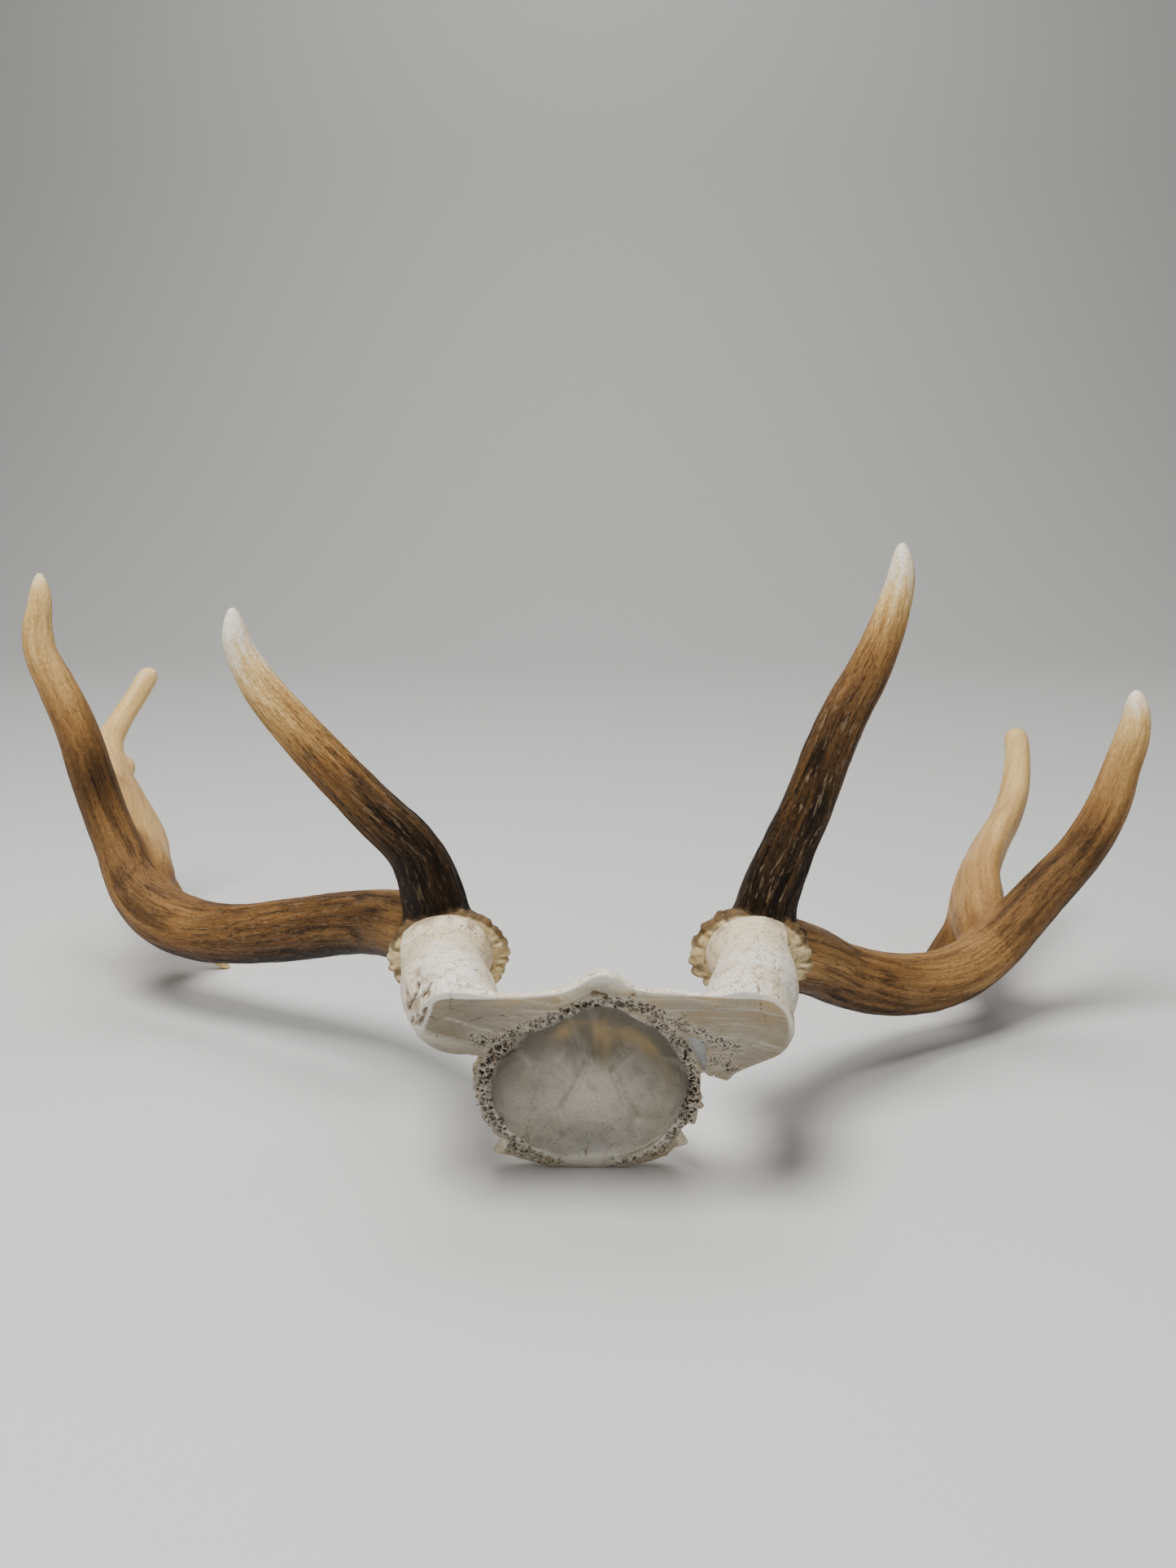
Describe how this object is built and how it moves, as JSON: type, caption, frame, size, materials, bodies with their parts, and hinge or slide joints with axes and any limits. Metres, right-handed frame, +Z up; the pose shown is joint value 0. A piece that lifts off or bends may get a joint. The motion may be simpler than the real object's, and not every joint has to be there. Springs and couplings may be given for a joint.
{
  "type": "fallow deer skull cap",
  "caption": "Sawn fallow deer skull cap with both antlers, ivory bone with an open brain hollow, brown grooved tines with pale tips and narrow tan palms.",
  "frame": {"origin": "bottom centre of the whole piece as it stands on the back of the skull and the two rear palm points", "axes": "+X towards the right antler as seen from the sawn face, -Y towards the viewer of the sawn face, +Z up along the brow tines"},
  "size_m": [0.5315, 0.3412, 0.2232],
  "materials": {
    "skull_bone": "dry matte bone, ivory white outside, bluish grey in the hollow, dark pores along the cut",
    "antler": "dull grooved antler, near black at the burr through brown and tan to ivory tips"
  },
  "bodies": {
    "root": {"skull_cap": "skull_bone", "left_beam": "antler", "left_brow_tine": "antler", "left_trez_tine": "antler", "left_palm": "antler", "right_beam": "antler", "right_brow_tine": "antler", "right_trez_tine": "antler", "right_palm": "antler"}
  },
  "joints": []
}
